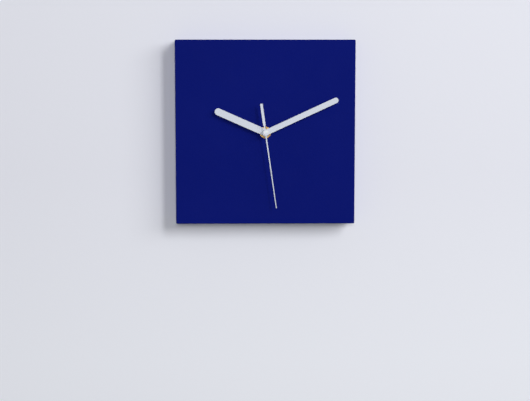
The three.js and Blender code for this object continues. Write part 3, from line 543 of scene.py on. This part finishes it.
def boolean(shape, operation, *others):
    """The shape cut by, or kept inside, the others."""
    body = bpy.data.objects.new("body", bpy.data.meshes.new("body"))
    shape.to_mesh(body.data)
    tools = []
    for other in others:
        tool = bpy.data.objects.new("tool", bpy.data.meshes.new("tool"))
        other.to_mesh(tool.data)
        bpy.context.scene.collection.objects.link(tool)
        tools.append(tool)
        modifier = body.modifiers.new("cut", "BOOLEAN")
        modifier.operation = operation
        modifier.solver = "EXACT"
        modifier.object = tool
    result = evaluated(body)
    for tool in tools:
        bpy.data.objects.remove(tool)
    return joined_flats(result)


def eased(shape, width, angle=40, steps=2):
    """Rounds the edges that are sharper than an angle."""
    limit = math.radians(angle)
    sharp = [e for e in shape.edges if len(e.link_faces) == 2 and e.calc_face_angle(0) > limit]
    bmesh.ops.bevel(
        shape, geom=sharp, offset=width, offset_type="OFFSET", segments=steps, profile=0.5, affect="EDGES",
        clamp_overlap=True,
    )
    return shape


def copy_of(node, width, angle=40, steps=2):
    """A CAD node's shape with its flats joined and its edges rounded."""
    shape = bmesh.new()
    shape.from_mesh(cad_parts[node].data)
    shape.transform(Matrix.Scale(1 / MM, 4) @ Matrix.Translation(-SHAFT))
    return eased(joined_flats(shape), width, angle, steps)


def turned_by(shape, angle):
    """The shape turned clockwise about the hand shaft, as seen from the front."""
    shape.transform(Matrix.Rotation(math.radians(angle), 4, "Y"))
    return shape


def piece(name, shape, material, body, slot, *nodes, second=None):
    """Makes a piece from a shape, which rides on a body and stands for the CAD nodes named.

    Faces with material index 1 take the second material."""
    shape.transform(Matrix.Translation(SHAFT) @ Matrix.Scale(MM, 4))
    mesh = bpy.data.meshes.new(name)
    shape.to_mesh(mesh)
    shape.free()
    mesh.materials.append(material)
    if second:
        mesh.materials.append(second)
    mesh.shade_smooth()
    mesh.set_sharp_from_angle(angle=math.radians(SOFT_ANGLE))
    # Faces square to the frame outweigh the rounded edges beside them, so they shade flat.
    strength = mesh.attributes.new("__mod_weightednormals_faceweight", "INT", "FACE")
    for face, weight in zip(mesh.polygons, strength.data):
        weight.value = STRONG_FACE if max(map(abs, face.normal)) > 0.99999 else 0
    thing = bpy.data.objects.new(name, mesh)
    bpy.context.scene.collection.objects.link(thing)
    normals = thing.modifiers.new("normals", "WEIGHTED_NORMAL")
    normals.keep_sharp = True
    normals.use_face_influence = True
    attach(thing, body)
    if nodes:
        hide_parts(*nodes)


# ---- Block and hanger ----


def make_case():
    low, high = span("case_body")
    width, height = high.x - low.x, high.z - low.z
    plate_low, plate_high = span("hanger_plate")
    hanger_z = (plate_low.z + plate_high.z) / 2
    hanger_floor = plate_low.y - CLEARANCE
    screws = [span("hanger_screw_left"), span("hanger_screw_right")]
    pocket_floor = span("rubber_gasket")[0].y - CLEARANCE
    hanger_width = plate_high.x - plate_low.x + 2 * HANGER_FIT
    hanger_height = plate_high.z - plate_low.z + 2 * HANGER_FIT
    hanger_corner = HANGER_CORNER + HANGER_FIT
    cavity = rounded_rectangle(CAVITY_WIDTH, CAVITY_HEIGHT, CAVITY_CORNER, 0, hanger_z - 1)
    block = plate([rounded_rectangle(width, height, BLOCK_CORNER, steps=6)], low.y, high.y, BLOCK_EDGE, 3)
    cutters = [
        plate([rounded_rectangle(POCKET, POCKET, POCKET_CORNER)], pocket_floor, 2),
        rod(BUSH_HOLE_RADIUS, low.y - 2, pocket_floor + 1),
        plate([rounded_rectangle(hanger_width, hanger_height, hanger_corner, 0, hanger_z)], hanger_floor, 2),
        plate([cavity], hanger_floor - CAVITY_DEPTH, 1),
    ]
    for screw_low, screw_high in screws:
        x = (screw_low.x + screw_high.x) / 2
        z = (screw_low.z + screw_high.z) / 2
        cutters.append(rod(SCREW_HOLE_RADIUS, -SCREW_HOLE_DEPTH, 1, x, z, 24))
    shape = eased(boolean(block, "DIFFERENCE", *cutters), 0.35, 50)
    for face in shape.faces:
        x, y, z = face.calc_center_median()
        inside = abs(x) < width / 2 - 2 and abs(z) < height / 2 - 2
        face.material_index = int(inside and low.y + 0.4 < y < -0.4)
    piece("case_block", shape, PAINT, "root", "case_paint", "case_body", second=BOARD)


def make_hanger():
    low, high = span("hanger_plate")
    slot, entry = KEYHOLE_SLOT_RADIUS, KEYHOLE_ENTRY_RADIUS
    top = high.z - KEYHOLE_TOP_MARGIN
    turn = math.degrees(math.asin(slot / entry))
    keyhole = arc(0, top - KEYHOLE_DROP, entry, 90 + turn, 450 - turn, 40) + arc(0, top, slot, 0, 180, 20)
    outer = rounded_rectangle(high.x - low.x, high.z - low.z, HANGER_CORNER, 0, (low.z + high.z) / 2)
    outlines = [outer, keyhole[::-1]]
    screws = [span("hanger_screw_left"), span("hanger_screw_right")]
    places = [((a.x + b.x) / 2, (a.z + b.z) / 2) for a, b in screws]
    outlines += [hole(x, z, 1.6, 32) for x, z in places]
    piece("keyhole_plate", plate(outlines, low.y, high.y, 0.22), ZINC, "root", "zinc_steel", "hanger_plate")
    for side, (x, z), (screw_low, screw_high) in zip(("left", "right"), places, screws):
        seat = high.y + CLEARANCE
        crown = screw_high.y
        profile = [(0, screw_low.y), (0.5, screw_low.y + 0.8)]
        profile += [(1.35, screw_low.y + 2 + 0.2 * i) for i in range(35)]
        profile += rounded([
            (1.4, seat, 0.1), (2.8, seat, 0.15), (2.8, seat + 0.55, 0.25), (2.0, crown - 0.12, 0.5),
        ])
        profile += [(0.9, crown - 0.02), (0, crown)]
        shape = turned(profile, x, z, 48, wood_thread(screw_low.y + 2, seat - 2.6))
        arms = [turned_slot(x, z, crown, turn) for turn in (20, 110)]
        shape = boolean(shape, "DIFFERENCE", *arms)
        name = "hanger_screw_" + side
        piece("pan_head_screw_" + side, eased(shape, 0.06, 55, 1), ZINC, "root", "zinc_steel", name)


def wood_thread(start, end):
    """A coarse helical groove between two depths, for turned()."""

    def radius_at(radius, y, angle):
        if not start <= y <= end:
            return radius
        phase = (y / 1.1 - angle / math.tau) % 1
        return radius - 0.4 * min(1, 2.6 * min(phase, 1 - phase))

    return radius_at


def turned_slot(x, z, crown, angle):
    """One arm of a cross recess, tapered towards its floor."""
    shape = plate([rounded_rectangle(3.0, 0.62, 0.2, steps=3)], crown - 1.0, crown + 1)
    for vertex in shape.verts:
        if vertex.co.y < crown:
            vertex.co.x *= 0.62
            vertex.co.z *= 0.7
    turned_by(shape, angle)
    shape.transform(Matrix.Translation((x, 0, z)))
    return shape


# ---- Movement ----

RAISED_ROOT = 0.05  # how far raised marks start below the surface


def raised_ring(inner, outer, surface, top, fillet, x, z, segments):
    """A low ring that stands on a surface facing back."""
    foot = surface - RAISED_ROOT
    corners = [(outer, foot, 0), (outer, top, fillet), (inner, top, fillet), (inner, foot, 0)]
    return turned(rounded([*corners, corners[0]]), x, z, segments)


def make_movement():
    for half in ("front", "rear"):
        node = f"movement_{half}_cover"
        piece(f"{half}_cover_moulding", copy_of(node, 0.22), BLACK, "root", "black_plastic", node)
    back = span("movement_rear_cover")[1].y
    knob_low, knob_high = span("set_knob")
    knob_x = (knob_low.x + knob_high.x) / 2
    knob_z = (knob_low.z + knob_high.z) / 2
    proud = back + 0.3

    def raised(name, outlines):
        piece(name, plate(outlines, back - RAISED_ROOT, proud, 0.1), BLACK, "root", "black_plastic")

    # Polarity marks beside the ends of the cell.
    mark_x, mark_z, arm, rib = 22.5, -8.2, 1.7, 0.4
    quarter = [(arm, -rib), (arm, rib), (rib, rib)]
    plus = [(x * c - z * s, x * s + z * c) for c, s in ((1, 0), (0, 1), (-1, 0), (0, -1)) for x, z in quarter]
    raised("mark_positive", [[(mark_x + x, mark_z + z) for x, z in plus]])
    raised("mark_negative", [rounded_rectangle(2 * arm, 2 * rib, rib / 2, -mark_x, mark_z)])
    # A curved arrow round the set knob.
    start, end = 68, 148

    def beside_knob(radius, *angles, steps=24):
        return arc(knob_x, knob_z, radius, *angles, steps)

    raised("set_arrow_shaft", [beside_knob(8.0, start, end) + beside_knob(7.3, end, start)])
    tip = beside_knob(7.65, end + 13, end + 13, steps=1)[0]
    wings = [beside_knob(radius, end - 1, end - 1, steps=1)[0] for radius in (9.1, 6.2)]
    raised("set_arrow_head", [[wings[0], tip, wings[1]]])
    # A raised rim round the knob's opening and a low frame over the gear chamber.
    rim = raised_ring(6.0, 6.6, back, proud, 0.12, knob_x, knob_z, 72)
    piece("knob_rim", rim, BLACK, "root", "black_plastic")
    width, height, corner, band = 29, 30.5, 2.0, 0.6
    middle = (-9.3, 9.2)
    outer = rounded_rectangle(width, height, corner, *middle)
    inner = rounded_rectangle(width - 2 * band, height - 2 * band, corner - band, *middle)
    raised("label_frame", [outer, inner[::-1]])
    # Shallow rings left by the mould's ejector pins.
    for number, (x, z) in enumerate(((-25, 25), (25, 25), (8.5, -8.4), (-8.5, -8.4), (8.8, 22.5))):
        ring = raised_ring(1.28, 1.5, back, back + 0.08, 0.03, x, z, 40)
        piece(f"ejector_ring_{number}", ring, BLACK, "root", "black_plastic")


def make_knob():
    low, high = span("set_knob")
    x, z = (low.x + high.x) / 2, (low.z + high.z) / 2
    reach = (high.x - low.x) / 2
    ribs = 20
    turns = [math.tau * i / (ribs * 10) for i in range(ribs * 10)]
    outline = []
    for angle in turns:
        r = reach - 0.24 + 0.22 * math.cos(ribs * angle)
        outline.append((x + r * math.cos(angle), z + r * math.sin(angle)))
    grip = plate([outline], low.y, high.y - 0.35, 0.18)
    boss = turned(rounded([
        (0, high.y - 0.5, 0), (reach - 0.85, high.y - 0.5, 0), (reach - 1.0, high.y, 0.15),
        (reach - 2.0, high.y, 0.15), (reach - 2.2, high.y - 0.3, 0.1), (0, high.y - 0.3, 0),
    ]), x, z, 72)
    bar = plate([rounded_rectangle(2 * (reach - 2.6), 0.9, 0.3, x, z)], high.y - 0.35, high.y - 0.05, 0.1)
    piece("ribbed_set_knob", merged(grip, boss, bar), BLACK, "setter", "black_plastic", "set_knob")


# ---- Fixing on the face ----


def make_fixing():
    low, high = span("threaded_bush")
    nut_front = span("hex_nut")[0].y
    flange_front = span("rubber_gasket")[0].y
    flange_back = span("movement_front_cover")[0].y - CLEARANCE
    thread_start = low.y + 0.12
    thread_end = nut_front - 0.1
    steps = 40
    step = (thread_end - thread_start) / steps
    profile = [(BUSH_BORE, low.y)]
    profile += [(THREAD_CREST, thread_start + step * i) for i in range(steps + 1)]
    profile += [(BUSH_RADIUS, thread_end + 0.2), (BUSH_RADIUS, flange_front), (BUSH_FLANGE, flange_front)]
    profile += [(BUSH_FLANGE, flange_back), (BUSH_RADIUS, flange_back), (BUSH_RADIUS, high.y)]
    profile += [(BUSH_BORE, high.y), (BUSH_BORE, low.y)]

    def thread(radius, y, angle):
        if radius != THREAD_CREST:
            return radius
        phase = (y / THREAD_PITCH - angle / math.tau) % 1
        ease = min(1, (y - low.y) / 0.5)
        return radius - 0.22 * min(1, 2.8 * min(phase, 1 - phase)) - 0.2 * (1 - ease)

    bush = turned(profile, segments=72, radius_at=thread)
    piece("bush_with_thread", bush, BRASS, "root", "brass", "threaded_bush")
    piece("chamfered_nut", copy_of("hex_nut", 0.1, 25), BRASS, "root", "brass", "hex_nut")
    washer_low, washer_high = span("brass_washer")
    front, back, outer = washer_low.y, washer_high.y, washer_high.x
    ring = rounded([
        (WASHER_BORE, front + 0.12, 0.05), (WASHER_BORE + 0.25, front, 0.1), (outer, front, 0.2),
        (outer, back, 0.06), (WASHER_BORE, back, 0.05),
    ])
    piece("turned_washer", turned([*ring, ring[0]], segments=96), BRASS, "root", "brass", "brass_washer")


# ---- Hands ----


def make_hands():
    for name, body, angle, width, length, hub, bore in (
        ("hour", "hour_arbor", HOUR_ANGLE, 7.7, 61, 4.3, 2.55),
        ("minute", "minute_arbor", MINUTE_ANGLE, 6.1, 88.5, 3.6, 1.85),
    ):
        low, high = span(f"{name}_hand")
        back = low.y + 0.5
        sheet = plate([baton(width, length, hub), hole(0, 0, bore)], low.y, back, 0.14)
        collet_radius = hub * 0.86
        collet = rounded([
            (bore, back - 0.2, 0), (collet_radius, back - 0.2, 0), (collet_radius, high.y, 0.15),
            (bore, high.y, 0.1), (bore, back - 0.2, 0),
        ])
        shape = turned_by(merged(sheet, turned(collet)), angle)
        piece(f"{name}_baton", shape, HAND, body, "hand_paint", f"{name}_hand")
    low, high = span("second_hand")
    needle, waist, tail, corner = 0.75, 0.6, 1.45, 0.3
    foot = corner - SECOND_TAIL
    outline = arc(0, SECOND_LENGTH - SECOND_TIP, SECOND_TIP, 0, 180, 12)
    outline += [(-needle, 0), (-waist, -6.5), (-tail, -9.5), *arc(corner - tail, foot, corner, 180, 270, 4)]
    outline += [*arc(tail - corner, foot, corner, 270, 360, 4), (tail, -9.5), (waist, -6.5), (needle, 0)]
    bore = rod(SECOND_BORE, low.y - 4, high.y + 3)
    sheet = boolean(plate([outline], low.y, high.y, 0.07), "DIFFERENCE", bore)
    front, back = low.y - 0.02, high.y + 0.02
    ring = rounded([
        (SECOND_BORE, front, 0.03), (2 * SECOND_BORE, front, 0.05), (2 * SECOND_BORE, back, 0.05),
        (SECOND_BORE, back, 0.03),
    ])
    shape = turned_by(merged(sheet, turned([*ring, ring[0]])), SECOND_ANGLE)
    piece("second_needle", shape, HAND, "seconds_shaft", "hand_paint", "second_hand")
    cap_low, cap_high = span("second_hand_cap")
    front, back, stem = cap_low.y, low.y - CLEARANCE, SECOND_BORE - CLEARANCE
    turns = (0.25, 0.5, 0.75, 1.0, 1.2, 1.35, 1.5)
    profile = [(0, front)]
    profile += [(CAP_RADIUS * math.sin(t) ** 0.9, front + 0.75 * (1 - math.cos(t))) for t in turns]
    profile += [(CAP_RADIUS, back - 0.1), (CAP_RADIUS - 0.1, back)]
    profile += [(stem, back), (stem, cap_high.y), (0, cap_high.y)]
    piece("domed_cap", turned(profile), CAP, "seconds_shaft", "hand_cap", "second_hand_cap")


# ---- Cell ----


def make_cell():
    low, high = span("battery_cell")
    radius = (high.z - low.z) / 2
    y, z = (low.y + high.y) / 2, (low.z + high.z) / 2
    terminal_low, terminal_high = span("battery_terminal")

    def along_x(profile):
        shape = turned(rounded(profile), segments=72)
        shape.transform(Matrix.Translation((0, y, z)) @ Matrix.Rotation(-math.pi / 2, 4, "Z"))
        return shape

    wrap = along_x([
        (0, low.x + 0.35, 0), (5.4, low.x + 0.35, 0.1), (5.7, low.x, 0.15), (radius - 0.1, low.x, 0.35),
        (radius, low.x + 1.0, 0.3), (radius, high.x - 1.3, 0.5), (radius - 0.28, high.x - 0.9, 0.2),
        (radius - 0.1, high.x - 0.35, 0.2), (radius - 0.7, high.x, 0.25), (5.0, high.x, 0.1),
        (4.9, high.x - 0.2, 0.05), (0, high.x - 0.2, 0),
    ])
    piece("cell_can", wrap, WRAP, "battery", "battery_wrap", "battery_cell")
    button = along_x([
        (0, terminal_low.x, 0), (4.6, terminal_low.x, 0.05), (4.6, terminal_low.x + 0.2, 0.08),
        (3.0, terminal_low.x + 0.2, 0.15), (2.65, terminal_high.x, 0.3), (0, terminal_high.x, 0),
    ])
    piece("cell_button", button, NICKEL, "battery", "zinc_steel", "battery_terminal")


# ---- Stage, in metres ----

BACKDROP_REACH = 9.0
BACKDROP_GLOW = 0.72
ROOM_GLOW = 0.12
FLOOR_HEIGHT = -0.7
WALL_REACH = 6.0
WALL_GAP = 0.6 * MM


def wall_surface():
    """Pale painted plaster that fades into the backdrop, and shows only from the room's side."""
    s = Surface("wall_paint", Specular_IOR_Level=0.1)
    cloud = s.noise(2.2, 3)
    roller = s.noise(260, 4, 0.6)
    color = s.blend(cloud, (0.840, 0.852, 0.926), (0.854, 0.866, 0.940))
    # Paler towards the bottom: painted light, brightening the lower wall where the lamps leave it dimmer.
    color = s.blend(s.spread(s.axis("Z"), 0, 1, -0.12, -0.34), color, (0.905, 0.925, 0.990))
    s.done(color, 0.9, s.bump(roller, 0.16, 0.0004))
    s.away(1.0, 4.5)
    clear = s.add("ShaderNodeBsdfTransparent")
    return s.faded(s.add("ShaderNodeNewGeometry").outputs["Backfacing"], clear)


def backdrop_color(s):
    """The backdrop's pale grey, on any surface that fades into it."""
    return s.blend(s.noise(0.15, 2), (0.93, 0.94, 0.97), (0.98, 0.985, 1.0))


def floor_surface():
    """A pale painted floor that fades into the backdrop away from the clock."""
    s = Surface("floor_paint", Specular_IOR_Level=0.1)
    color = s.blend(s.noise(3, 4), (0.60, 0.60, 0.615), (0.64, 0.64, 0.655))
    s.done(color, s.spread(s.noise(20, 4), 0.75, 0.85), s.bump(s.noise(180, 4), 0.15, 0.0004))
    return s.away(0.7, 2.6)


def flat_sheet(name, corners, material):
    mesh = bpy.data.meshes.new(name)
    mesh.from_pydata(corners, [], [(0, 1, 2, 3)])
    mesh.materials.append(material)
    sheet = bpy.data.objects.new(name, mesh)
    bpy.context.scene.collection.objects.link(sheet)
    return sheet


def area_light(name, place, size, watts, spread=180):
    """A soft rectangular light that faces the clock."""
    light = bpy.data.lights.new(name, "AREA")
    light.shape = "RECTANGLE"
    light.size, light.size_y = size
    light.energy = watts
    light.spread = math.radians(spread)
    holder = bpy.data.objects.new(name, light)
    holder.location = place
    holder.rotation_euler = (SHAFT - Vector(place)).to_track_quat("-Z", "Y").to_euler()
    holder.visible_camera = False
    bpy.context.scene.collection.objects.link(holder)


def make_dome():
    """A pale round backdrop behind everything, which shows in the background and in gloss."""
    shape = bmesh.new()
    bmesh.ops.create_uvsphere(shape, u_segments=48, v_segments=24, radius=BACKDROP_REACH)
    mesh = bpy.data.meshes.new("backdrop")
    shape.to_mesh(mesh)
    shape.free()
    mesh.shade_smooth()
    s = Surface("backdrop_paint", Roughness=1.0, Specular_IOR_Level=0.0)
    s.feed(s.shader, {"Base Color": (0.0, 0.0, 0.0), "Emission Strength": BACKDROP_GLOW})
    s.feed(s.shader, {"Emission Color": backdrop_color(s)})
    mesh.materials.append(s.material)
    dome = bpy.data.objects.new("backdrop", mesh)
    bpy.context.scene.collection.objects.link(dome)
    dome.visible_diffuse = False
    dome.visible_shadow = False


def make_stage():
    z, reach, gap = FLOOR_HEIGHT, WALL_REACH, WALL_GAP
    wall_corners = [(-reach, gap, z), (reach, gap, z), (reach, gap, reach), (-reach, gap, reach)]
    floor_corners = [(-reach, -reach, z), (reach, -reach, z), (reach, reach, z), (-reach, reach, z)]
    wall = flat_sheet("wall", wall_corners, wall_surface())
    # The wall is only looked at: it neither shades nor lights the clock, so its back stays lit.
    wall.visible_shadow = False
    wall.visible_diffuse = False
    wall.visible_glossy = False
    flat_sheet("floor", floor_corners, floor_surface()).visible_diffuse = False
    make_dome()
    world = bpy.data.worlds.new("room")
    world.use_nodes = True
    background = world.node_tree.nodes["Background"]
    background.inputs["Color"].default_value = (0.97, 0.98, 1.0, 1)
    background.inputs["Strength"].default_value = ROOM_GLOW
    bpy.context.scene.world = world
    area_light("front_light", (-0.04, -3.0, 0.35), (0.5, 0.72), 30)
    area_light("window_near", (1.5, -3.0, 1.35), (0.52, 1.3), 38)
    area_light("window_far", (2.6, -2.5, 1.15), (2.25, 1.5), 44)
    area_light("back_light", (-1.4, 2.0, 1.1), (1.6, 1.2), 9, 60)
    area_light("back_fill", (1.6, 1.8, 0.2), (1.6, 1.2), 4, 60)
    bpy.context.scene.view_settings.view_transform = "Standard"


# ---- The clock ----

make_camera()

PAINT = case_paint()
BOARD = raw_board()
HAND = hand_paint()
CAP = hand_cap()
BRASS = brass()
ZINC = zinc_steel()
NICKEL = spring_steel()
BLACK = black_plastic()
cell_low, cell_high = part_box("battery_cell")
WRAP = battery_wrap(cell_low.x, cell_high.x)

make_case()
make_hanger()
make_movement()
make_knob()
make_fixing()
make_hands()
make_cell()

# CAD nodes that keep their own shape, by finish.
KEPT = {
    "train_bridge": pale_plastic(),
    "hour_wheel": pale_plastic(),
    "rubber_gasket": rubber(),
    "rotor_magnet": magnet(),
    "coil_winding": copper_wire(),
    "circuit_board": circuit_board(),
    "chip_blob": BLACK,
}
PALE = KEPT["hour_wheel"]
for node in (
    "minute_cannon", "motion_wheel", "set_wheel", "centre_wheel", "third_wheel", "seconds_wheel",
    "step_wheel", "rotor_pinion", "coil_bobbin",
):
    KEPT[node] = PALE
for node in (
    "seconds_arbor", "coil_core", "stator_left", "stator_right", "quartz_crystal", "battery_contact_positive",
    "battery_contact_negative",
):
    KEPT[node] = NICKEL
for node, material in KEPT.items():
    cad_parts[node].data.materials.clear()
    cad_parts[node].data.materials.append(material)

make_stage()
